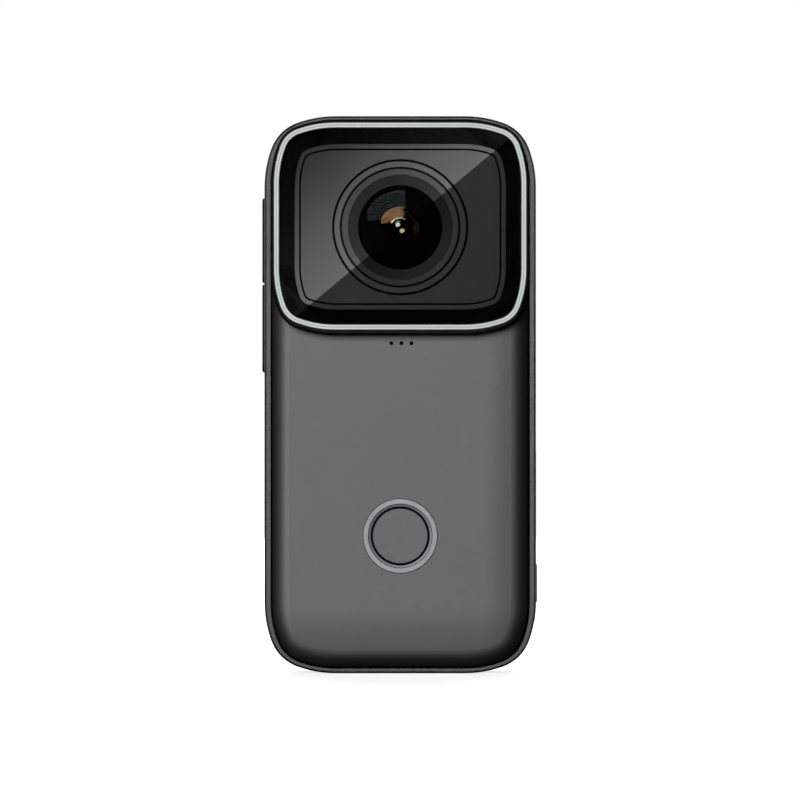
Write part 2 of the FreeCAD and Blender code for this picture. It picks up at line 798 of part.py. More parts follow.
def lens_holder():
    """The block that carries the barrel and stands on the sensor board."""
    body = new_body("lens_holder")
    add(body, "front", Box("-9.4", "9.4", "lens_z - 8.8", "lens_z + 8.8", "1.2"), "-3.6", "1.7")
    cut(body, "front", Round("0", "lens_z", "barrel_neck_radius + 0.03"), "-4", "barrel_rear + 0.1")
    cut(body, "front", Box("-4.4", "4.4", "lens_z - 3.8", "lens_z + 3.8", "0.5"), "0", "2")


def sensor_parts():
    """The filter, the image sensor and its board."""
    ir_filter = new_body("ir_filter")
    add(ir_filter, "front", Box("-3.6", "3.6", "lens_z - 3", "lens_z + 3"), "0.45", "0.75")
    sensor = new_body("image_sensor")
    add(sensor, "front", Box("-3.9", "3.9", "lens_z - 3.3", "lens_z + 3.3"), "0.85", "1.7")
    board = new_body("sensor_board")
    add(board, "front", Box("-9.2", "9.2", "lens_z - 8.6", "lens_z + 8.6", "0.8"), "1.7", "2.5")
    flex = new_body("sensor_flex")
    strip = Profile(
        ("2.5", "56.4"),
        ("2.5", "53.5"),
        ("board_front - 0.15", "50.5"),
        ("board_front - 0.15", "47.6"),
        ("board_front", "47.6"),
        ("board_front", "50.58"),
        ("2.65", "53.58"),
        ("2.65", "56.4"),
    )
    add(flex, "side", strip, "-3.5", "3.5")


# ---------------------------------------------------------------- controls
def record_button():
    """The round record button, its ring, seal, switch and small board."""
    cap = new_body("record_button")
    turn(
        cap,
        Profile(
            ("record_front", "0"),
            ("record_front", "record_radius - 0.12"),
            ("record_front + 0.12", "record_radius"),
            ("-9.38", "record_radius"),
            ("-9.38", "4.6"),
            ("-9.1", "4.6"),
            ("-9.1", "1.2"),
            ("-8.85", "1.2"),
            ("-8.85", "0"),
        ),
        up="record_z",
    )
    ring = new_body("record_ring")
    turn(
        ring,
        Profile(
            ("cover_front - 0.04", "record_ring_step + 0.06"),
            ("cover_front - 0.04", "record_ring_outer - 0.08"),
            ("cover_front + 0.04", "record_ring_outer"),
            ("-9.38", "record_ring_outer"),
            ("-9.38", "record_ring_outer + 0.6"),
            ("-9.0", "record_ring_outer + 0.6"),
            ("-9.0", "4.8"),
            ("-9.45", "4.8"),
            ("-9.45", "record_ring_inner"),
            ("cover_front + 0.14", "record_ring_inner"),
            ("cover_front + 0.08", "record_ring_step - 0.06"),
        ),
        up="record_z",
    )
    seal = new_body("record_seal")
    turn(seal, Profile(("-9.0", "4.9"), ("-9.0", "5.8"), ("-8.7", "5.8"), ("-8.7", "4.9")), up="record_z")
    switch = new_body("record_switch")
    dome = Profile(
        ("-8.45", "0"),
        ("-8.45", "0.9"),
        ("-8.3", "1.7"),
        ("-8.3", "2.1"),
        ("-8.15", "2.1"),
        ("-8.15", "0"),
    )
    turn(switch, dome, up="record_z")
    board = new_body("record_switch_board")
    add(board, "front", Box("-5", "5", "record_z - 5", "record_z + 5", "1"), "-8.15", "-7.95")


def side_button(name, bottom, top):
    """One of the two caps in the slot on the left side, with a flange behind the wall."""
    body = new_body(name)
    face = "-body_width / 2 - side_button_proud"
    inner = "-body_width / 2 + frame_wall + seam"
    half = "side_button_half_width"
    add(body, "side", Box(f"-{half}", half, bottom, top, "1.1"), face, f"{inner} + 0.1")
    dress(body, "Fillet", "side_button_round", on_plane("x", face))
    add(body, "side", Box(f"-{half} - 0.7", f"{half} + 0.7", bottom, top), inner, f"{inner} + 0.5")


def side_switches():
    """Two tactile switches behind the side buttons, on one board."""
    switches = new_body("side_switches")
    middles = ("(side_button_split + side_button_top) / 2", "(side_button_split + side_button_bottom) / 2")
    add(switches, "side", [Box("-1.8", "1.8", f"{z} - 2.2", f"{z} + 2.2") for z in middles], "-16.2", "-15")
    add(switches, "side", [Round("0", z, "0.8") for z in middles], "-16.5", "-16.1")
    board = new_body("side_switch_board")
    strip = Box("-2.9", "2.9", "side_button_bottom + 1", "side_button_top - 1", "0.5")
    add(board, "side", strip, "-15", "-14.8")


def microphone():
    mic = new_body("microphone")
    add(mic, "front", Box("-2.4", "2.4", "mic_z - 2.6", "mic_z + 0.35", "0.2"), "-9.2", "-8.1")
    membrane = new_body("mic_membrane")
    patch = Box("-2.4", "2.4", "mic_z - 0.6", "mic_z + 0.35", "0.2")
    add(membrane, "front", patch, "cover_front + cover_wall", "-9.25")


# ---------------------------------------------------------------- electronics
def main_board():
    board = new_body("main_board")
    rear = "board_front + board_thickness"
    sheet_outline = Box("-board_half_width", "board_half_width", "board_bottom", "board_top", "1.5")
    add(board, "front", sheet_outline, "board_front", rear)
    shield = new_body("processor_shield")
    add(shield, "front", Box("-8", "7", "33.6", "46.4", "0.8"), "board_front - 1.5", "board_front")
    cut(shield, "front", Box("-7.8", "6.8", "33.8", "46.2", "0.6"), "board_front - 1.3", "board_front + 1")
    chips = new_body("memory_chips")
    packages = [
        Box("-7", "-1", "35.5", "44.5"),
        Box("0.5", "6", "36", "41"),
        Box("9.5", "13", "37", "42"),
        Box("-13.5", "-10", "40", "44"),
        Box("-13", "-10.4", "34.6", "37.4"),
    ]
    add(chips, "front", packages, "board_front - 1", "board_front")
    pad = new_body("thermal_pad")
    add(pad, "front", Box("-7", "6", "34.6", "45.4"), "board_front - 1.8", "board_front - 1.5")
    spreader = new_body("heat_spreader")
    spreader_outline = Box("-13.5", "13.5", "33.4", "50", "1")
    add(spreader, "front", spreader_outline, "board_front - 2.6", "board_front - 1.8")


def antenna():
    """The wireless antenna, a strip under the band's top wall."""
    body = new_body("antenna")
    add(body, "top", Box("-8", "8", "-3", "5", "0.5"), "body_height - 2.2", "body_height - 2")


def display_box(grow, corner):
    """The display's rounded square, grown by a margin."""
    return Box(
        f"-display_half_width - ({grow})",
        f"display_half_width + ({grow})",
        f"display_z - display_half_height - ({grow})",
        f"display_z + display_half_height + ({grow})",
        corner,
    )


def display():
    glass = new_body("display_glass")
    back = "rear_face - display_glass_thickness"
    add(glass, "front", display_box("0", "display_corner"), back, "rear_face")
    dress(glass, "Fillet", "0.25", on_plane("y", "rear_face"))
    seal = new_body("display_seal")
    add(seal, "front", display_box("-0.15", "display_corner - 0.1"), f"{back} - 0.15", back)
    cut(seal, "front", display_box("-1.25", "display_corner - 0.9"), "0", "rear_face + 1")
    module = new_body("display_module")
    add(module, "front", display_box("-1.5", "0.8"), "8.6", "rear_face - 1.5")
    flex = new_body("display_flex")
    strip = Profile(
        ("7.0", "46"),
        ("7.15", "46"),
        ("8.9", "49"),
        ("8.9", "49.7"),
        ("8.6", "49.7"),
        ("7.0", "46.9"),
    )
    add(flex, "side", strip, "-9", "-3")


def speaker():
    body = new_body("speaker")
    can = Box("-7", "7", "speaker_z - 5.4", "speaker_z + 3.6", "1.5")
    add(body, "front", can, "7.6", "rear_face - rear_wall - 0.3")
    mesh = new_body("speaker_mesh")
    grille_cloth = Box("-5.5", "5.5", "speaker_z - 2.7", "speaker_z + 1.2", "0.6")
    add(mesh, "front", grille_cloth, "rear_face - rear_wall - 0.2", "rear_face - rear_wall")


# ---------------------------------------------------------------- battery bay and sockets
def battery():
    """The battery, its tray open towards the door, and the contacts at the far end."""
    cell = new_body("battery")
    face = Box("battery_front", "battery_rear", "battery_bottom", "battery_top", "1")
    add(cell, "side", face, "battery_left", "battery_right")
    dress(cell, "Chamfer", "0.3", on_plane("x", "battery_right"))
    tray = new_body("battery_tray")
    wall = "tray_wall + seam"
    outer = Box(
        f"battery_front - ({wall})",
        f"battery_rear + {wall}",
        f"battery_bottom - ({wall})",
        f"battery_top + {wall}",
        "1.2",
    )
    room = Box(
        "battery_front - seam",
        "battery_rear + seam",
        "battery_bottom - seam",
        "battery_top + seam",
        "0.9",
    )
    add(tray, "side", outer, "battery_left - 0.9", "15.9")
    cut(tray, "side", room, "battery_left - 0.4", "17")
    contacts = new_body("battery_contacts")
    blades = [Box("-3.3 + 0", "-2.2", f"{z}", f"{z} + 2.2") for z in ("14", "18.7", "23.4")]
    add(contacts, "side", blades, "battery_left - 0.4", "battery_left")


def memory_card():
    """The card, standing 1.5 mm out of its socket, and the socket on the board."""
    card = new_body("memory_card")
    rear = "card_front + card_thickness"
    top = "card_bottom + card_width"
    add(card, "side", Box("card_front", rear, "card_bottom", top), "16 - card_length", "16")
    dress(card, "Fillet", "0.8", lambda e: abs(e.Length - number("card_thickness")) < 1e-3)
    socket = new_body("card_socket")
    shell = Box("card_front - 0.35", "board_front", "card_bottom - 0.8", f"{top} + 0.5")
    slot = Box("card_front - 0.1", f"{rear} + 0.1", "card_bottom - 0.12", f"{top} + 0.12")
    add(socket, "side", shell, "14 - card_length", "14.4")
    cut(socket, "side", slot, "15 - card_length", "15")


def usb_socket():
    """A USB-C receptacle on the board's front side, with its tongue."""
    shell = new_body("usb_shell")
    front = "board_front - usb_height"
    top = "usb_bottom + usb_width"
    outer = Box(front, "board_front", "usb_bottom", top, "usb_height / 2 - 0.01")
    inner = Box(
        f"{front} + usb_wall",
        "board_front - usb_wall",
        "usb_bottom + usb_wall",
        f"{top} - usb_wall",
        "usb_height / 2 - usb_wall - 0.01",
    )
    add(shell, "side", outer, "16 - usb_depth", "16")
    cut(shell, "side", inner, "16.8 - usb_depth", "17")
    tongue = new_body("usb_tongue")
    middle = "board_front - usb_height / 2"
    blade = Box(f"{middle} - 0.35", f"{middle} + 0.35", "usb_bottom + 1.2", f"{top} - 1.2")
    add(tongue, "side", blade, "16.8 - usb_depth", "15.3")


# ---------------------------------------------------------------- side door
def door_opening(inset, corner):
    """The door's opening moved inwards all round, and by a little more beside the hinge."""
    rear = f"opening_rear - {inset} - door_hinge_room"
    bottom = f"opening_bottom + {inset}"
    top = f"opening_top - {inset}"
    return Box(f"opening_front + {inset}", rear, bottom, top, corner)


def side_door():
    """The door over the battery, card and socket. It turns on a pin at its rear edge."""
    body = new_body("side_door")
    face = "body_width / 2 + door_proud"
    panel = Box("door_front", "door_rear", "door_bottom", "door_top", "0.9")
    add(body, "side", panel, "door_inner", face)
    dress(body, "Fillet", "0.28", on_plane("x", face, lambda e: e.BoundBox.YMin < 0 or e.Length < 2))
    beyond = [BODY.inset("-door_proud"), Box("-30", "30", "-10", "90")]
    cut(body, "front", beyond, "door_front - 1", "hinge_y + 2")
    # hinge arm and knuckle
    arm = Box("door_inner", face, "door_rear - 0.5", "hinge_y")
    add(body, "top", arm, "knuckle_bottom", "knuckle_top")
    add(body, "top", Round("hinge_x", "hinge_y", "knuckle_radius"), "knuckle_bottom", "knuckle_top")
    # rim that enters the opening and carries the seal
    rim = door_opening(0.45, "0.8")
    add(body, "side", rim, "door_boss_inner", "door_inner")
    room = door_opening(1.35, "0.5")
    cut(body, "side", room, "door_boss_inner - 1", "door_inner")
    cut(body, "top", Round("hinge_x", "hinge_y", "pin_radius + 0.05"), "0", "40")
    # guide for the latch, its slot through the panel, and a gap in the rim for the tongue
    guide = Box(
        "latch_front - 0.1",
        "latch_rear + 0.1",
        "latch_bottom - latch_travel - 0.1",
        "latch_top + 0.1",
        "0.5",
    )
    cut(body, "side", guide, "door_inner + 0.6", "21")
    cut(body, "side", Box("-3.9", "-1.5", "latch_bottom - 0.1", "latch_top - 1"), "door_inner - 1", "20")
    cut(body, "side", Box("-4.7", "-0.7", "8", "10"), "16.8", "door_inner - 0.2")


def door_seal():
    """The rubber seal round the door's rim."""
    body = new_body("door_seal")
    outer = door_opening(0.2, "1")
    inner = door_opening(0.45, "0.8")
    add(body, "side", outer, "door_boss_inner + 0.15", "door_boss_inner + 0.45")
    cut(body, "side", inner, "door_boss_inner - 1", "door_inner + 1")


def door_latch():
    """The slider on the door: a ribbed pad, a neck, and a tongue that drops into the frame's keeper."""
    body = new_body("door_latch")
    face = "body_width / 2 + latch_proud"
    pad = Box("latch_front", "latch_rear", "latch_bottom", "latch_top", "0.5")
    add(body, "side", pad, "door_inner + 0.65", face)
    dress(body, "Fillet", "0.18", on_plane("x", face))
    for i in range(4):
        z = f"latch_bottom + {1.15 + 1.05 * i}"
        rib_gap = Box("latch_front + 0.7", "latch_rear - 0.7", z, f"{z} + 0.4")
        cut(body, "side", rib_gap, f"{face} - 0.25", "21")
    neck = Box("-3.8", "-1.6", "latch_bottom + 1.3", "latch_top - 1.1")
    add(body, "side", neck, "door_inner - 0.4", "door_inner + 0.8")
    add(body, "side", Box("-4.5", "-0.9", "8.45", "latch_top - 0.6"), "16.95", "door_inner - 0.35")


def hinge_pin():
    body = new_body("hinge_pin")
    add(body, "top", Round("hinge_x", "hinge_y", "pin_radius"), "7.6", "door_top - 0.6")


# ---------------------------------------------------------------- build
mid_frame()
gasket("front_gasket", "band_front + ledge_front - gasket_thickness", "band_front + ledge_front")
gasket("rear_gasket", "band_rear - ledge_rear", "band_rear - ledge_rear + gasket_thickness")
front_cover()
rear_cover()
case_screws()
tripod_nut()
lens_bezel()
bezel_trim()
window_glass()
window_seal()
lens_surround()
lens_collar()
lens_barrel()
lens_retainer()
lens_elements()
aperture_stop()
lens_holder()
sensor_parts()
record_button()
side_button("power_button", "side_button_split + side_button_gap / 2", "side_button_top")
side_button("mode_button", "side_button_bottom", "side_button_split - side_button_gap / 2")
side_switches()
microphone()
main_board()
antenna()
display()
speaker()
battery()
memory_card()
usb_socket()
side_door()
door_seal()
door_latch()
hinge_pin()

# ---------------------------------------------------------------- checks and export
doc.recompute()
for item in doc.Objects:
    if "Invalid" in item.State or "Error" in item.State:
        raise ValueError(f"{item.Name} failed: {item.State}")
os.makedirs("parts", exist_ok=True)
for node in NODES:
    shape = node.Shape
    if shape.isNull() or not shape.isValid() or not shape.Solids:
        raise ValueError(f"{node.Label} has no valid solid")
    shape.exportStep(os.path.join("parts", node.Label + ".step"))
    box = shape.BoundBox
    low = ", ".join(f"{v:.2f}" for v in (box.XMin, box.YMin, box.ZMin))
    high = ", ".join(f"{v:.2f}" for v in (box.XMax, box.YMax, box.ZMax))
    print(f"{node.Label}: {len(shape.Solids)} solid(s), {shape.Volume:.1f} mm3, ({low}) to ({high})")
print(len(NODES), "nodes")
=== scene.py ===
import json
import math

import bmesh
import bpy
from mathutils import Matrix, Vector


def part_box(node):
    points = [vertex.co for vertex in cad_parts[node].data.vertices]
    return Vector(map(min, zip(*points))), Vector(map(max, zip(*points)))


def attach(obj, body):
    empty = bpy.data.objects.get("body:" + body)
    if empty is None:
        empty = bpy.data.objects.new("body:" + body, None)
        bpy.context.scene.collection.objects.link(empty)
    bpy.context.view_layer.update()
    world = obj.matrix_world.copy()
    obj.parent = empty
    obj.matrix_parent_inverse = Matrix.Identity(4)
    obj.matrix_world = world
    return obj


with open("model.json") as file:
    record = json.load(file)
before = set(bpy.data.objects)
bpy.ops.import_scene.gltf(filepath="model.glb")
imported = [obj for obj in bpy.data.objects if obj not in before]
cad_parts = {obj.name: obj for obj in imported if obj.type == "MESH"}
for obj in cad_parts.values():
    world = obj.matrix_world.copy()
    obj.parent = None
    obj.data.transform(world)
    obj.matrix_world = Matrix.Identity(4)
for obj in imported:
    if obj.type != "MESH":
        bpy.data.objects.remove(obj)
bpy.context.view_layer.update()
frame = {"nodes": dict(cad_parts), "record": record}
nodes = frame["nodes"]

MM = 0.001
MM_IN_METRE = 1000.0
LENS_Z = sum(corner[2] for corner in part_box("lens_collar")) / 2

# Painted shade on the front cover, darker towards its sides and bottom and into the seam:
# its share of brightness at the two ends of a range, then that range.
COVER_SHADE_RIGHT = (1.0, 0.66, 0.0115, 0.0160)
COVER_SHADE_LEFT = (0.92, 1.0, -0.0175, -0.0152)
COVER_SHADE_LOW = (0.64, 1.0, 0.0030, 0.0105)
COVER_SHADE_SEAM = (1.0, 0.05, -0.0096, -0.0087)

# Distances from the lens axis: the dished ring's middle and half width, and the barrel's radius.
DISH_MIDDLE = 0.00672
DISH_HALF = 0.00074
BARREL_RADIUS = 0.00598

# Half the width over which a lens coating begins, and the near-black colour of the painted shade in the lens
# rings.
COAT_EDGE = 0.00004
UNLIT = (0.0006, 0.0006, 0.0006)


# ---------------------------------------------------------------- shader builder
class Shader:
    """Builds one material's nodes. Coordinates are the piece's own, in metres, so patterns move with it."""

    def __init__(self, name):
        self.material = bpy.data.materials.new(name)
        self.material.use_nodes = True
        self.tree = self.material.node_tree
        self.tree.nodes.clear()
        self.place = self.node("ShaderNodeTexCoord").outputs["Object"]

    def feed(self, socket, value):
        if isinstance(value, bpy.types.NodeSocket):
            self.tree.links.new(value, socket)
        elif isinstance(value, (tuple, list)) and len(value) == 3 and socket.type == "RGBA":
            socket.default_value = (*value, 1.0)
        else:
            socket.default_value = value

    def node(self, kind, inputs=None, **settings):
        made = self.tree.nodes.new(kind)
        for key, value in settings.items():
            setattr(made, key, value)
        for key, value in (inputs or {}).items():
            self.feed(made.inputs[key], value)
        return made

    def noise(self, size_mm, detail=2.0, roughness=0.5, stretch=(1, 1, 1), offset=0.0):
        inputs = {"Vector": self.place, "Location": (offset,) * 3, "Scale": stretch}
        spot = self.node("ShaderNodeMapping", inputs)
        made = self.node(
            "ShaderNodeTexNoise",
            {
                "Vector": spot.outputs[0],
                "Scale": MM_IN_METRE / size_mm,
                "Detail": detail,
                "Roughness": roughness,
            },
        )
        return made.outputs["Fac"]

    def cells(self, size_mm):
        made = self.node("ShaderNodeTexVoronoi", {"Vector": self.place, "Scale": MM_IN_METRE / size_mm})
        return made.outputs["Distance"]

    def spread(self, value, low, high, from_low=0.3, from_high=0.7):
        made = self.node(
            "ShaderNodeMapRange",
            {"Value": value, "From Min": from_low, "From Max": from_high, "To Min": low, "To Max": high},
        )
        return made.outputs["Result"]

    def fall(self, value, low, high, from_low, from_high):
        """Like spread, with eased ends."""
        made = self.node(
            "ShaderNodeMapRange",
            {"Value": value, "From Min": from_low, "From Max": from_high, "To Min": low, "To Max": high},
            interpolation_type="SMOOTHSTEP",
        )
        return made.outputs["Result"]

    def axes(self):
        """The coordinates along X, Y and Z, each on its own."""
        return tuple(self.node("ShaderNodeSeparateXYZ", {0: self.place}).outputs)

    def cover_painted_shade(self):
        """Painted shade darkening the front cover's colour towards its sides and bottom and into its seam."""
        x, y, z = self.axes()
        sides = self.math("MULTIPLY", self.fall(x, *COVER_SHADE_RIGHT), self.fall(x, *COVER_SHADE_LEFT))
        ends = self.math("MULTIPLY", self.fall(z, *COVER_SHADE_LOW), self.fall(y, *COVER_SHADE_SEAM))
        return self.math("MULTIPLY", sides, ends)

    def math(self, operation, a, b=0.0):
        return self.node("ShaderNodeMath", {0: a, 1: b}, operation=operation).outputs[0]

    def blend(self, factor, a, b):
        made = self.node("ShaderNodeMix", data_type="RGBA")
        self.feed(made.inputs[0], factor)
        self.feed(made.inputs[6], a)
        self.feed(made.inputs[7], b)
        return made.outputs[2]

    def bump(self, height, depth_mm, normal=None):
        inputs = {"Height": height, "Distance": depth_mm * MM, "Strength": 1.0}
        if normal is not None:
            inputs["Normal"] = normal
        return self.node("ShaderNodeBump", inputs).outputs["Normal"]

    def radius(self):
        """Distance from the lens axis, in metres."""
        x, _, z = self.axes()
        flat = self.node("ShaderNodeCombineXYZ", {0: x, 1: self.math("SUBTRACT", z, LENS_Z)})
        return self.node("ShaderNodeVectorMath", {0: flat.outputs[0]}, operation="LENGTH").outputs["Value"]

    def behind(self, depth):
        """1 where the surface lies further back than depth, in metres, and 0 elsewhere."""
        return self.math("GREATER_THAN", self.axes()[1], depth)

    def ball_normal(self, centre_y):
        """The outward direction of a ball whose centre lies on the lens axis."""
        centre = (0.0, centre_y, LENS_Z)
        out = self.node("ShaderNodeVectorMath", {0: self.place, 1: centre}, operation="SUBTRACT").outputs[0]
        turned_out = self.node(
            "ShaderNodeVectorTransform",
            {0: out},
            vector_type="VECTOR",
            convert_from="OBJECT",
            convert_to="WORLD",
        )
        return self.node("ShaderNodeVectorMath", {0: turned_out.outputs[0]}, operation="NORMALIZE").outputs[0]

    def rings(self, size_mm):
        """Fine concentric turning marks round the lens axis."""
        line = self.node("ShaderNodeCombineXYZ", {0: self.radius()})
        inputs = {"Vector": line.outputs[0], "Scale": MM_IN_METRE / size_mm, "Detail": 3.0}
        return self.node("ShaderNodeTexNoise", inputs).outputs["Fac"]

    def principled(self, **inputs):
        named = {key.replace("_", " "): value for key, value in inputs.items()}
        return self.node("ShaderNodeBsdfPrincipled", named).outputs[0]

    def done(self, surface):
        out = self.node("ShaderNodeOutputMaterial")
        self.tree.links.new(surface, out.inputs["Surface"])
        return self.material


def scaled(colour, by):
    return tuple(min(c * by, 1.0) for c in colour)


# ---------------------------------------------------------------- materials
def moulded(
    name,
    colour,
    rough=0.45,
    metallic=0.0,
    grain_mm=0.16,
    depth_mm=0.002,
    mottle=0.05,
    vary=0.05,
    level=0.5,
    painted_shade_y=None,
    painted_shade=0.03,
    painted_edge_shade=False,
):
    """Moulded or painted surface with a fine spark-eroded grain.

    Mottle and vary are how far its colour and roughness wander. Behind painted_shade_y only the share deep of
    its colour is left, as painted shade in recesses. With edges it gets the front cover's painted shade.
    """
    s = Shader(name)
    grain = s.noise(grain_mm, 3.0, 0.6)
    cloud = s.noise(7.0, 3.0, offset=0.3)
    wear = s.noise(1.1, 4.0, 0.65, offset=0.7)
    base = s.blend(s.spread(cloud, 0, 1), scaled(colour, 1 - mottle), scaled(colour, 1 + mottle))
    base = s.blend(s.spread(grain, 0.0, 0.35, 0.35, 0.75), base, scaled(colour, 1.18))
    # Painted shade: the colour darkens behind painted_shade_y, in recesses and gaps.
    if painted_shade_y is not None:
        base = s.blend(s.behind(painted_shade_y), base, scaled(colour, painted_shade))
    if painted_edge_shade:
        # Painted shade: the front cover's colour darkens towards its sides and bottom and into the seam.
        base = s.blend(s.cover_painted_shade(), (0, 0, 0), base)
    mixed = s.math("ADD", s.math("MULTIPLY", grain, 0.5), s.math("MULTIPLY", wear, 0.5))
    roughness = s.spread(mixed, rough - vary, rough + vary)
    normal = s.bump(grain, depth_mm)
    shader = s.principled(
        Base_Color=base,
        Roughness=roughness,
        Metallic=metallic,
        Normal=normal,
        Specular_IOR_Level=level,
    )
    return s.done(shader)


def blasted(name, colour, rough=0.42, metallic=1.0, grain_mm=0.13, depth_mm=0.002):
    """Bead-blasted, anodised metal."""
    s = Shader(name)
    grain = s.noise(grain_mm, 2.0, 0.5)
    pits = s.cells(0.22)
    cloud = s.noise(11.0, 2.0, offset=0.9)
    base = s.blend(s.spread(cloud, 0, 1), scaled(colour, 0.94), scaled(colour, 1.06))
    base = s.blend(s.spread(pits, 0.12, 0.0, 0.0, 0.5), base, scaled(colour, 0.7))
    roughness = s.spread(grain, rough - 0.06, rough + 0.06)
    normal = s.bump(pits, depth_mm * 0.5, normal=s.bump(grain, depth_mm))
    return s.done(s.principled(Base_Color=base, Roughness=roughness, Metallic=metallic, Normal=normal))


def turned(name, colour, rough, metallic, painted_shade_y, painted_shade=0.68, ring_mm=0.05, depth_mm=0.003):
    """Turned metal with fine rings. Behind painted_shade_y only the share deep of its colour is left: painted
    shade.
    """
    s = Shader(name)
    marks = s.rings(ring_mm)
    cloud = s.noise(3.0, 3.0)
    base = s.blend(s.spread(cloud, 0, 1), scaled(colour, 0.9), scaled(colour, 1.1))
    # Painted shade: the colour darkens behind painted_shade_y, inside the bore.
    base = s.blend(s.behind(painted_shade_y), base, scaled(colour, painted_shade))
    roughness = s.spread(marks, rough - 0.06, rough + 0.08)
    normal = s.bump(marks, depth_mm, normal=s.bump(s.noise(0.1), depth_mm))
    return s.done(s.principled(Base_Color=base, Roughness=roughness, Metallic=metallic, Normal=normal))


def satin(name, colour, painted_shade_y, rough=0.62, metallic=0.3, level=0.12):
    """Satin black paint round the lens axis, with near-black matt painted shade in grooves and inside the
    barrel.
    """
    s = Shader(name)
    grain = s.noise(0.1, 3.0, 0.6)
    cloud = s.noise(5.0, 3.0)
    groove = s.behind(painted_shade_y)
    away = s.radius()
    dish = s.math("LESS_THAN", s.math("ABSOLUTE", s.math("SUBTRACT", away, DISH_MIDDLE)), DISH_HALF)
    inner = s.math("LESS_THAN", away, BARREL_RADIUS)
    # Painted shade: grooves behind painted_shade_y, except on the dished ring, and all inside the barrel.
    painted_shade = s.math("MAXIMUM", s.math("MULTIPLY", groove, s.math("SUBTRACT", 1.0, dish)), inner)
    base = s.blend(s.spread(cloud, 0, 1), scaled(colour, 0.95), scaled(colour, 1.05))
    base = s.blend(s.spread(grain, 0.0, 0.4, 0.4, 0.8), base, scaled(colour, 1.25))
    base = s.blend(painted_shade, base, UNLIT)
    paint = s.principled(
        Base_Color=base,
        Roughness=s.spread(grain, rough - 0.05, rough + 0.05),
        Metallic=metallic,
        Specular_IOR_Level=level,
        Normal=s.bump(grain, 0.0012),
    )
    # The near-black matt surface of the painted shade.
    bare = s.principled(Base_Color=UNLIT, Roughness=0.8, Specular_IOR_Level=0.0)
    return s.done(s.node("ShaderNodeMixShader", {0: painted_shade, 1: paint, 2: bare}).outputs[0])


def drawn(name, colour, rough=0.3, stretch=(0.05, 1, 1), line_mm=0.06, depth_mm=0.003):
    """Stamped or rolled metal, with lines along one direction."""
    s = Shader(name)
    lines = s.noise(line_mm, 3.0, 0.6, stretch)
    cloud = s.noise(2.5, 3.0)
    base = s.blend(s.spread(cloud, 0, 1), scaled(colour, 0.88), scaled(colour, 1.06))
    roughness = s.spread(lines, rough - 0.08, rough + 0.1)
    normal = s.bump(lines, depth_mm)
    return s.done(s.principled(Base_Color=base, Roughness=roughness, Metallic=1.0, Normal=normal))


def rubber(name, colour):
    """Matt rubber with a little dust."""
    s = Shader(name)
    grain = s.noise(0.09, 3.0, 0.6)
    dust = s.noise(0.9, 4.0, 0.7, offset=0.5)
    base = s.blend(s.spread(dust, 0, 1, 0.45, 0.8), colour, scaled(colour, 1.8))
    normal = s.bump(grain, 0.008)
    return s.done(s.principled(Base_Color=base, Roughness=s.spread(grain, 0.6, 0.8), Normal=normal))


def board(name, colour):
    """Solder mask over copper tracks."""
    s = Shader(name)
    across = s.node("ShaderNodeTexBrick", {"Vector": s.place, "Scale": 420.0, "Mortar Size": 0.09})
    across.offset = 0.37
    tracks = across.outputs["Fac"]
    vias = s.cells(1.3)
    hole = s.spread(vias, 1.0, 0.0, 0.06, 0.1)
    base = s.blend(tracks, colour, scaled(colour, 1.9))
    base = s.blend(hole, base, (0.5, 0.36, 0.14))
    height = s.math("ADD", tracks, s.math("MULTIPLY", hole, 0.5))
    rough = s.spread(s.noise(0.4, 3.0), 0.28, 0.42)
    return s.done(s.principled(Base_Color=base, Roughness=rough, Normal=s.bump(height, 0.03)))


def woven(name, colour, thread_mm=0.12):
    """A fine plain weave across X and Z."""
    s = Shader(name)
    size = 2 * math.pi / (thread_mm * MM)
    x, _, z = s.axes()
    warp = s.math("SINE", s.math("MULTIPLY", x, size))
    weft = s.math("SINE", s.math("MULTIPLY", z, size))
    weave = s.math("MULTIPLY", warp, weft)
    base = s.blend(s.spread(weave, 0, 1, -1, 1), scaled(colour, 0.4), scaled(colour, 1.8))
    roughness = s.spread(s.noise(0.3), 0.55, 0.8)
    return s.done(s.principled(Base_Color=base, Roughness=roughness, Normal=s.bump(weave, 0.03)))


def clear(
    name,
    tint,
    gloss=(1, 1, 1),
    ior=1.5,
    rough=0.02,
    edge_gloss=None,
    edge=(0.0, 0.0),
    streaks=0.0,
    ball_y=None,
    bare=0.0,
):
    """Coated glass as a thin skin: it reflects at its outer face and lets light straight through.

    An edge gloss takes over between the two radii of edge, as where a coating thins out. Streaks is how far
    fine marks dim the gloss. Inside the radius bare the coating doesn't reflect. With ball_y the face is a
    true ball round that point of the lens axis.
    """
    s = Shader(name)
    smudge = s.noise(4.0, 4.0, 0.6, offset=0.2)
    fresnel = s.node("ShaderNodeFresnel", {"IOR": ior}).outputs[0]
    front = s.math("SUBTRACT", 1.0, s.node("ShaderNodeNewGeometry").outputs["Backfacing"])
    share = s.math("MULTIPLY", fresnel, front)
    tinted = s.blend(s.spread(smudge, 0, 1), scaled(tint, 0.985), tint)
    through = s.node("ShaderNodeBsdfTransparent", {"Color": tinted}).outputs[0]
    colour = s.blend(s.spread(smudge, 0, 1), scaled(gloss, 0.93), gloss)
    if streaks:
        fine = s.noise(0.35, 3.0, 0.7, offset=0.4)
        colour = s.blend(s.spread(fine, 0, 1, 0.4, 0.62), scaled(gloss, 1 - streaks), gloss)
    if edge_gloss:
        colour = s.blend(s.spread(s.radius(), 0, 1, *edge), colour, edge_gloss)
    if bare:
        colour = s.blend(s.spread(s.radius(), 0, 1, bare - COAT_EDGE, bare + COAT_EDGE), (0, 0, 0), colour)
    mirror_inputs = {"Color": colour, "Roughness": s.spread(smudge, rough, rough + 0.02)}
    if ball_y is not None:
        mirror_inputs["Normal"] = s.ball_normal(ball_y)
    mirror = s.node("ShaderNodeBsdfGlossy", mirror_inputs).outputs[0]
    both = s.node("ShaderNodeMixShader", {0: share, 1: through, 2: mirror})
    return s.done(both.outputs[0])


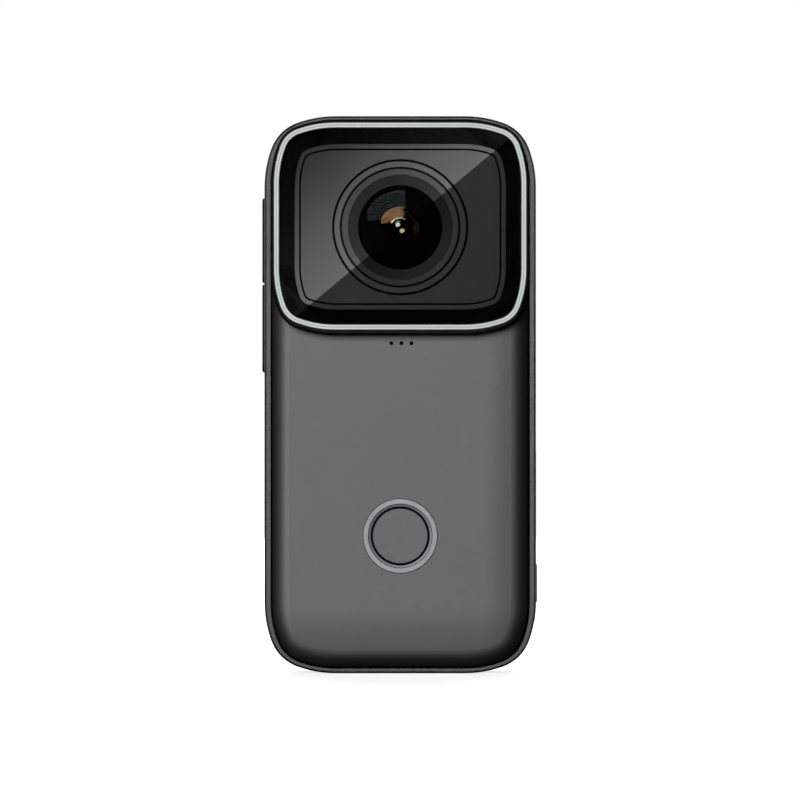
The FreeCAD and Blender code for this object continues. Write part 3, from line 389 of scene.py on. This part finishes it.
def sensor(name):
    """Silicon with a pixel array and faint colours across it."""
    s = Shader(name)
    parts = {0: s.spread(s.noise(5.0), 0.5, 0.85), 1: 0.6, 2: 0.16}
    hue = s.node("ShaderNodeCombineColor", parts, mode="HSV").outputs[0]
    pixels = {"Vector": s.place, "Scale": 1500.0, "Mortar Size": 0.12}
    grid = s.node("ShaderNodeTexBrick", pixels).outputs["Fac"]
    base = s.blend(grid, hue, (0.02, 0.02, 0.03))
    return s.done(s.principled(Base_Color=base, Roughness=s.spread(s.noise(1.0), 0.12, 0.2), Metallic=0.8))


# Behind this depth the lens rings get painted shade.
LENS_PAINTED_SHADE_Y = -0.0113
SHELL = {"colour": (0.128, 0.128, 0.129), "rough": 0.60, "metallic": 1.0, "mottle": 0.015, "vary": 0.015}
MATERIALS = {
    "band_metal": blasted("band_metal", (0.088, 0.088, 0.0895), rough=0.40, metallic=0.9),
    "shell_plastic": moulded("shell_plastic", **SHELL),
    "black_plastic": moulded("black_plastic", (0.004, 0.004, 0.0041), rough=0.5, level=0.06),
    "button_plastic": moulded("button_plastic", (0.0025, 0.0025, 0.0026), rough=0.5, level=0.2),
    # Painted shade: the record cap's colour darkens where it sinks into the gap round it.
    "record_cap_plastic": moulded(
        "record_cap_plastic",
        (0.128, 0.129, 0.131),
        rough=0.60,
        metallic=1.0,
        grain_mm=0.1,
        mottle=0.02,
        vary=0.02,
        painted_shade_y=-0.0102,
    ),
    # Painted shade: the ring's colour darkens inside its bore.
    "ring_metal": turned("ring_metal", (0.32, 0.32, 0.33), rough=0.62, metallic=0.9, painted_shade_y=-0.01058),
    # Painted shade: the trim's colour darkens behind its front face.
    "trim_metal": moulded(
        "trim_metal",
        (0.64, 0.68, 0.67),
        rough=0.6,
        metallic=0.2,
        grain_mm=0.08,
        depth_mm=0.0008,
        level=0.2,
        painted_shade_y=-0.012965,
        painted_shade=0.6,
    ),
    "window_clear": clear("window_clear", (0.985, 0.99, 0.99), rough=0.015),
    "adhesive": moulded("adhesive", (0.0012, 0.0012, 0.0013), rough=0.6, depth_mm=0.0005, level=0.01),
    # Painted shade in these rings' grooves and inside the barrel.
    "plate_paint": satin("plate_paint", (0.0245, 0.0245, 0.0247), painted_shade_y=-0.01145),
    "black_metal": satin("black_metal", (0.030, 0.030, 0.0302), LENS_PAINTED_SHADE_Y),
    "lens_glass": clear("lens_glass", (0.90, 0.96, 0.95), (0.25, 0.75, 0.72), ior=1.6),
    "filter_glass": clear("filter_glass", (0.6, 0.85, 0.85), (0.9, 0.3, 0.3), ior=1.55),
    "sensor_silicon": sensor("sensor_silicon"),
    "circuit_board": board("circuit_board", (0.006, 0.022, 0.016)),
    "flex_film": board("flex_film", (0.20, 0.075, 0.012)),
    "switch_metal": drawn("switch_metal", (0.6, 0.58, 0.55)),
    "steel": drawn("steel", (0.56, 0.56, 0.57), stretch=(1, 1, 0.05)),
    "shield_metal": drawn("shield_metal", (0.66, 0.66, 0.64), rough=0.34, stretch=(1, 1, 0.04)),
    "chip_epoxy": moulded("chip_epoxy", (0.015, 0.015, 0.016), rough=0.3, grain_mm=0.07),
    "thermal_rubber": rubber("thermal_rubber", (0.28, 0.33, 0.42)),
    "spreader_metal": drawn("spreader_metal", (0.62, 0.62, 0.62), rough=0.4),
    "seal_rubber": rubber("seal_rubber", (0.004, 0.004, 0.004)),
    "gold_metal": drawn("gold_metal", (0.85, 0.62, 0.27), rough=0.24),
    "screen_glass": moulded("screen_glass", (0.004, 0.004, 0.0045), rough=0.08, depth_mm=0.0, level=0.6),
    "panel": moulded("panel", (0.008, 0.009, 0.012), rough=0.14, depth_mm=0.0),
    "mesh_fabric": woven("mesh_fabric", (0.003, 0.003, 0.003)),
    "battery_wrap": moulded("battery_wrap", (0.025, 0.025, 0.028), rough=0.34, grain_mm=0.5, depth_mm=0.004),
}

LENS_TINT = (0.95, 0.97, 0.96)
LENS_COATS = {
    "front_element": clear(
        "front_coat",
        LENS_TINT,
        (0.125, 0.158, 0.165),
        ior=1.6,
        edge_gloss=(0.20, 0.15, 0.16),
        edge=(0.0046, 0.0058),
        ball_y=-0.00115,
    ),
    "second_element": clear(
        "second_coat",
        LENS_TINT,
        (1.0, 0.47, 0.19),
        ior=2.15,
        streaks=0.6,
        ball_y=-0.003,
        bare=0.00134,
    ),
    "third_element": clear(
        "third_coat",
        LENS_TINT,
        (0.40, 0.62, 0.42),
        ior=2.4,
        rough=0.03,
        ball_y=-0.0043,
    ),
}

# The dished ring round the front element shines more than the painted rings round it.
# The front cover gets painted shade: its colour darkens towards its sides and bottom and into the seam.
OTHER_FINISHES = {
    # Painted shade inside the barrel and in its grooves away from the dish.
    "lens_retainer": satin("dish_metal", (0.035, 0.035, 0.0352), LENS_PAINTED_SHADE_Y, rough=0.55, metallic=0.9),
    "front_cover": moulded("front_shell_painted_shade", **SHELL, painted_edge_shade=True),
}
OTHER_FINISHES.update(LENS_COATS)

for entry in frame["record"]["subparts"]:
    piece = nodes[entry["node"]]
    finish = OTHER_FINISHES.get(entry["node"], MATERIALS[entry["material_slot"]])
    for place in range(len(piece.material_slots)):
        piece.material_slots[place].material = finish

# The glass skins let light straight through, so they cast no shadow, and they don't show in each other.
for name in ("window_glass", "front_element", "second_element", "third_element"):
    nodes[name].visible_shadow = False
    nodes[name].visible_glossy = False


# ---------------------------------------------------------------- small pieces that CAD leaves plain
def add_piece(name, points, faces, finish, body="camera"):
    """A closed mesh that moves with a body and takes its finish from one of the record's slots."""
    mesh = bpy.data.meshes.new(name)
    mesh.from_pydata(points, [], faces)
    work = bmesh.new()
    work.from_mesh(mesh)
    bmesh.ops.recalc_face_normals(work, faces=work.faces)
    work.to_mesh(mesh)
    work.free()
    mesh.materials.append(MATERIALS[finish])
    piece = bpy.data.objects.new(name, mesh)
    bpy.context.scene.collection.objects.link(piece)
    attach(piece, body)


def thread_ridge(name, bottom, top, wall, crest, pitch, finish):
    """The ridge of a thread in an upright bore on the Z axis: a triangle swept along a helix."""
    per_turn = 40
    half = 0.45 * pitch
    count = round((top - bottom) / pitch * per_turn)
    points = []
    for step in range(count + 1):
        angle = 2 * math.pi * step / per_turn
        height = bottom + pitch * step / per_turn
        for radius, lift in ((wall, -half), (crest, 0.0), (wall, half)):
            points.append((radius * math.cos(angle), radius * math.sin(angle), height + lift))
    faces = [(2, 1, 0), (3 * count, 3 * count + 1, 3 * count + 2)]
    for step in range(count):
        for corner in range(3):
            here, beside = 3 * step + corner, 3 * step + (corner + 1) % 3
            faces.append((here, beside, beside + 3, here + 3))
    add_piece(name, points, faces, finish)


# The tripod socket is 1/4 inch with 20 threads to the inch. Its ridge starts above the lead-in.
TRIPOD_WALL = 2.62 * MM
TRIPOD_CREST = 2.49 * MM
TRIPOD_PITCH = 1.27 * MM
TRIPOD_LOW = 1.1 * MM
TRIPOD_HIGH = 5.6 * MM
thread_ridge("tripod_thread", TRIPOD_LOW, TRIPOD_HIGH, TRIPOD_WALL, TRIPOD_CREST, TRIPOD_PITCH, "steel")

CONTACT_START_MM = 1.5
CONTACT_LENGTH_MM = 3.7


def contact_strips(name, count, width, thickness, finish):
    """Flat contacts along both faces of the USB tongue."""
    low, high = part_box("usb_tongue")
    pitch = (high.z - low.z) / count
    corners = [(x, y, z) for x in (0, 1) for y in (0, 1) for z in (0, 1)]
    sides = [(0, 1, 3, 2), (4, 6, 7, 5), (0, 4, 5, 1), (2, 3, 7, 6), (0, 2, 6, 4), (1, 5, 7, 3)]
    points, faces = [], []
    for face_y, outward in ((low.y, -1), (high.y, 1)):
        for place in range(count):
            start_z = low.z + (place + 0.5) * pitch - width / 2
            first = len(points)
            for x, y, z in corners:
                along = low.x + (CONTACT_START_MM + CONTACT_LENGTH_MM * x) * MM
                proud = face_y + outward * thickness * (2 * y - 1)
                points.append((along, proud, start_z + width * z))
            faces += [tuple(first + corner for corner in side) for side in sides]
    add_piece(name, points, faces, finish)


contact_strips("usb_contacts", count=8, width=0.4 * MM, thickness=0.03 * MM, finish="gold_metal")

# ---------------------------------------------------------------- camera
# The view is FRAME_WIDTH across at the depth FRONT_PLANE.
CAMERA_BACK = 1.5
CAMERA_X = -0.00003
CAMERA_Z = 0.03875
FRAME_WIDTH = 0.11346
FRONT_PLANE = -0.008
SENSOR_WIDTH = 36.0
camera_data = bpy.data.cameras.new("camera")
camera_data.sensor_width = SENSOR_WIDTH
camera_data.lens = SENSOR_WIDTH * (CAMERA_BACK + FRONT_PLANE) / FRAME_WIDTH
camera_data.clip_start, camera_data.clip_end = 0.05, 100.0
camera = bpy.data.objects.new("camera", camera_data)
camera.location = (CAMERA_X, -CAMERA_BACK, CAMERA_Z)
camera.rotation_euler = (math.radians(90), 0, 0)
bpy.context.scene.collection.objects.link(camera)
bpy.context.scene.camera = camera
bpy.context.scene.view_settings.view_transform = "Standard"


# ---------------------------------------------------------------- studio
def area_light(name, place, size, strength, turn=(90, 0, 0), colour=(1, 1, 1), shape="RECTANGLE"):
    """A one-sided soft light, facing +Y unless turned. Strength is its radiance."""
    data = bpy.data.lights.new(name, "AREA")
    data.shape = shape
    data.size, data.size_y = size
    share = math.pi / 4 if shape in ("DISK", "ELLIPSE") else 1.0
    data.energy = strength * size[0] * size[1] * share * math.pi
    data.color = colour
    light = bpy.data.objects.new(name, data)
    light.location = place
    light.rotation_euler = [math.radians(a) for a in turn]
    light.visible_camera = False
    bpy.context.scene.collection.objects.link(light)
    return light


def aim(light, target):
    """Turns a light towards a point."""
    way = Vector(target) - light.location
    light.rotation_euler = way.to_track_quat("-Z", "Y").to_euler()


def face(light, right, up):
    """Turns a light so that its width runs along right and its height along up."""
    right = Vector(right).normalized()
    up = Vector(up)
    up = (up - right * up.dot(right)).normalized()
    light.rotation_euler = Matrix((right, up, right.cross(up))).transposed().to_euler()


def only(light, names, state="INCLUDE"):
    """Lets a light reach only the named nodes, or all but them."""
    group = bpy.data.collections.new(light.name + "_reach")
    for name in names.split():
        group.objects.link(bpy.data.objects[name])
    for entry in group.collection_objects:
        entry.light_linking.link_state = state
    light.light_linking.receiver_collection = group


BODY_MIDDLE = (0, 0, 0.04)


def panel(name, place, size, strength, names, state="INCLUDE", target=BODY_MIDDLE):
    """A soft light turned towards a point, which reaches only the named nodes, or all but them."""
    light = area_light(name, place, size, strength)
    aim(light, target)
    only(light, names, state)


GLASS = "window_glass front_element second_element third_element rear_element ir_filter"
FRONT = "front_cover lens_bezel bezel_trim window_seal lens_surround lens_collar lens_barrel lens_retainer"
MOVING_SIDES = "power_button mode_button side_door door_latch"
SIDES = "mid_frame rear_cover " + MOVING_SIDES
panel("front_key", (-0.28, -1.20, LENS_Z + 0.28), (0.6, 0.6), 12.6, GLASS + " mid_frame", "EXCLUDE")
panel("band_key", (0.0, -1.30, LENS_Z + 0.10), (0.3, 0.3), 10.8, "mid_frame")
for side in (-1, 1):
    panel("wing", (1.3 * side, 0.35, 0.30), (0.7, 0.9), 2.8, SIDES)
    panel("quarter", (0.95 * side, 0.85, 0.35), (0.5, 0.8), 1.8, SIDES)
    rear_skips = " ".join((FRONT, "mid_frame", MOVING_SIDES))
    panel("rear_fill", (0.30 * side, 1.3, 0.45), (0.5, 0.7), 8.0, rear_skips, "EXCLUDE")
top_fill = area_light("top_fill", (0.0, 0.35, 1.3), (1.0, 0.8), 1.6, turn=(0, 0, 0))
only(top_fill, "mid_frame rear_cover")

# A lamp below the floor, for views of the underside with the floor hidden.
UNDERSIDE = "mid_frame tripod_nut tripod_thread rear_cover"
panel("under_fill", (0.25, -0.45, -1.2), (0.6, 0.6), 5.0, UNDERSIDE, target=(0, 0, 0.02))

# The battery bay has its own lamp, which reaches it only through the open door.
BAY = (
    "usb_contacts battery battery_tray battery_contacts memory_card card_socket "
    "usb_shell usb_tongue main_board hinge_pin door_seal"
)
panel("bay_lamp", (0.9, -0.55, 0.30), (0.4, 0.4), 14.0, BAY, target=(0.01, 0, 0.02))

# A tall tilted softbox that shows in the lens glass, with its lower corner just above the lens axis.
softbox = area_light("softbox", (-0.338, -0.48, LENS_Z + 0.46), (0.859, 0.639), 2.0)
face(softbox, (0.4291, -0.0148, -0.0016), (0.0054, 0.1249, 0.2942))
only(softbox, "front_element second_element")


LENS_MIDDLE = (0.0, -0.009)


def lens_lamp(name, polar, azimuth, distance, size, strength, colour, reach, start=LENS_MIDDLE):
    """A lamp whose reflection shows at one place in one lens element.

    Polar is its angle from the lens axis and azimuth the angle round it, in degrees. Its distance is from
    start, given as a radius from the axis and a depth.
    """
    out, turn = math.radians(polar), math.radians(azimuth)
    way = Vector((math.sin(out) * math.cos(turn), -math.cos(out), math.sin(out) * math.sin(turn)))
    middle = Vector((start[0] * math.cos(turn), start[1], LENS_Z + start[0] * math.sin(turn)))
    lamp = area_light(name, middle + way * distance, size, strength, colour=colour, shape="ELLIPSE")
    outward = Vector((math.cos(turn), 0, math.sin(turn)))
    sideways = Vector((-math.sin(turn), 0, math.cos(turn)))
    up = outward - way * outward.dot(way)
    face(lamp, sideways, up)
    if (lamp.matrix_basis.to_3x3() @ Vector((0, 0, -1))).dot(way) > 0:
        face(lamp, -sideways, up)
    only(lamp, reach)


lens_lamp("lamp_upper", 21.2, 125, 1.2, (0.46, 0.46), 15.0, (1, 0.66, 0.84), "third_element")
lens_lamp("lamp_lower", 19, 302, 0.12, (0.055, 0.058), 10.0, (1, 0.6, 0.36), "third_element")
lens_lamp("lamp_green", 36.5, 112, 0.35, (0.175, 0.105), 2.0, (0.75, 1, 0.85), "third_element")
lens_lamp("lamp_side", 44.3, 0, 0.25, (0.118, 0.076), 0.26, (0.47, 0.56, 1), "second_element")
lens_lamp("lamp_arc", 41.5, 45, 0.35, (0.21, 0.018), 0.30, (0.4, 0.85, 1), "second_element")

# Small lamps inside the barrel draw a crescent round the third element, brighter towards its left end.
RIM = (0.0014, -0.00695)
RIM_POLAR = 55.6
RIM_DISTANCE = 0.002
RIM_SIZE = (0.0007, 0.0004)
RIM_COLOUR = (1, 0.6, 0.72)
RIM_FIRST, RIM_PAST_LAST, RIM_STEP = 60, 149, 11
for azimuth in range(RIM_FIRST, RIM_PAST_LAST, RIM_STEP):
    strength = 3.0 + 0.15 * (azimuth - RIM_FIRST)
    lens_lamp(
        "lamp_rim",
        RIM_POLAR,
        azimuth,
        RIM_DISTANCE,
        RIM_SIZE,
        strength,
        RIM_COLOUR,
        "third_element",
        start=RIM,
    )

# A beam across the window pieces, cut off along a slanting line and fading away from it.
SLANT = math.radians(39.83)
SLANT_POINT = (0.00058, LENS_Z + 0.00015)
BEAM_BACK = 1.3
BEAM_ANGLE = math.radians(4)
BEAM_POWER = 180.0
PLATE_Y = -0.0116
FADE = 0.0165
FADED = 0.08
beam_data = bpy.data.lights.new("beam", "SPOT")
beam_data.spot_size = BEAM_ANGLE
beam_data.spot_blend = 0.0
beam_data.shadow_soft_size = 0.00005
beam_data.energy = BEAM_POWER
beam = bpy.data.objects.new("beam", beam_data)
beam.location = (0, -BEAM_BACK, LENS_Z)
beam.rotation_euler = (math.radians(90), 0, 0)
beam.visible_camera = False
bpy.context.scene.collection.objects.link(beam)
only(beam, "window_seal lens_surround lens_collar lens_barrel lens_retainer")
beam_data.use_nodes = True
gobo = beam_data.node_tree


def gobo_math(operation, *values):
    """One arithmetic node of the beam's pattern."""
    made = gobo.nodes.new("ShaderNodeMath")
    made.operation = operation
    for socket, value in zip(made.inputs, values):
        if isinstance(value, bpy.types.NodeSocket):
            gobo.links.new(value, socket)
        else:
            socket.default_value = value
    return made.outputs[0]


way = gobo.nodes.new("ShaderNodeTexCoord").outputs["Normal"]
split = gobo.nodes.new("ShaderNodeSeparateXYZ")
gobo.links.new(way, split.inputs[0])
reach = -(BEAM_BACK + PLATE_Y)
across_x = gobo_math("MULTIPLY", gobo_math("DIVIDE", split.outputs[0], split.outputs[2]), reach)
across_z = gobo_math("MULTIPLY", gobo_math("DIVIDE", split.outputs[1], split.outputs[2]), reach)
past_x = gobo_math("MULTIPLY", gobo_math("SUBTRACT", across_x, SLANT_POINT[0]), -math.sin(SLANT))
past_z = gobo_math("MULTIPLY", gobo_math("SUBTRACT", across_z, SLANT_POINT[1] - LENS_Z), math.cos(SLANT))
past = gobo_math("ADD", past_x, past_z)
inside = gobo_math("GREATER_THAN", past, 0.0)
fade = gobo_math("MAXIMUM", gobo_math("SUBTRACT", 1.0, gobo_math("DIVIDE", past, FADE)), FADED)
emission = next(n for n in gobo.nodes if n.type == "EMISSION")
gobo.links.new(gobo_math("MULTIPLY", inside, fade), emission.inputs["Strength"])

# The world is white to the camera and dim to everything else, brighter behind the object than before it.
world = bpy.data.worlds.new("studio")
bpy.context.scene.world = world
world.use_nodes = True
sky = world.node_tree
sky.nodes.clear()


def sky_node(kind, **links):
    """One node of the world, with its inputs set or linked by name."""
    made = sky.nodes.new(kind)
    for key, value in links.items():
        socket = made.inputs[key.replace("_", " ")]
        if isinstance(value, bpy.types.NodeSocket):
            sky.links.new(value, socket)
        else:
            socket.default_value = value
    return made


path = sky_node("ShaderNodeLightPath")
toward = sky_node("ShaderNodeTexCoord").outputs["Generated"]
facing = sky_node("ShaderNodeSeparateXYZ", Vector=toward).outputs["Y"]
level = sky.nodes.new("ShaderNodeValToRGB")
from_front = sky_node("ShaderNodeMapRange", Value=facing, From_Min=-1.0, From_Max=1.0).outputs[0]
sky.links.new(from_front, level.inputs[0])
stops = level.color_ramp.elements
SHADES = ((0.0, 0.004), (0.25, 0.006), (0.5, 0.008), (0.75, 0.015), (1.0, 0.04))
for place, shade in SHADES:
    stop = stops[0] if place == 0.0 else stops[-1] if place == 1.0 else stops.new(place)
    stop.position = place
    stop.color = (shade, shade, shade, 1)
lit = sky_node("ShaderNodeBackground", Color=level.outputs[0])
seen = sky_node("ShaderNodeBackground", Color=(1, 1, 1, 1))
chosen = sky.nodes.new("ShaderNodeMixShader")
sky.links.new(path.outputs["Is Camera Ray"], chosen.inputs[0])
sky.links.new(lit.outputs[0], chosen.inputs[1])
sky.links.new(seen.outputs[0], chosen.inputs[2])
sky.links.new(chosen.outputs[0], sky.nodes.new("ShaderNodeOutputWorld").inputs["Surface"])

# The floor is pale to the camera and glows a little away from the object. To other rays it is dark.
FLOOR = 30.0
floor_mesh = bpy.data.meshes.new("floor")
floor_corners = [(x * FLOOR, y * FLOOR, 0) for x, y in ((-1, -1), (1, -1), (1, 1), (-1, 1))]
floor_mesh.from_pydata(floor_corners, [], [(0, 1, 2, 3)])
floor = bpy.data.objects.new("floor", floor_mesh)
bpy.context.scene.collection.objects.link(floor)
f = Shader("floor")
ray = f.node("ShaderNodeLightPath").outputs["Is Camera Ray"]
pale_colour = f.blend(f.noise(40.0), (0.50, 0.50, 0.50), (0.52, 0.52, 0.52))
pale = f.principled(Base_Color=pale_colour, Roughness=0.6)
away = f.node("ShaderNodeVectorMath", {0: f.place}, operation="LENGTH").outputs["Value"]
glow_level = f.spread(away, 0.78, 1.0, 0.05, 0.40)
glow = f.node("ShaderNodeEmission", {"Color": (1, 1, 1), "Strength": glow_level}).outputs[0]
bright = f.node("ShaderNodeAddShader", {0: pale, 1: glow}).outputs[0]
dim_colour = f.blend(f.noise(40.0), (0.02, 0.02, 0.02), (0.024, 0.024, 0.024))
dim = f.principled(Base_Color=dim_colour, Roughness=0.9, Specular_IOR_Level=0.0)
floor_mesh.materials.append(f.done(f.node("ShaderNodeMixShader", {0: ray, 1: dim, 2: bright}).outputs[0]))
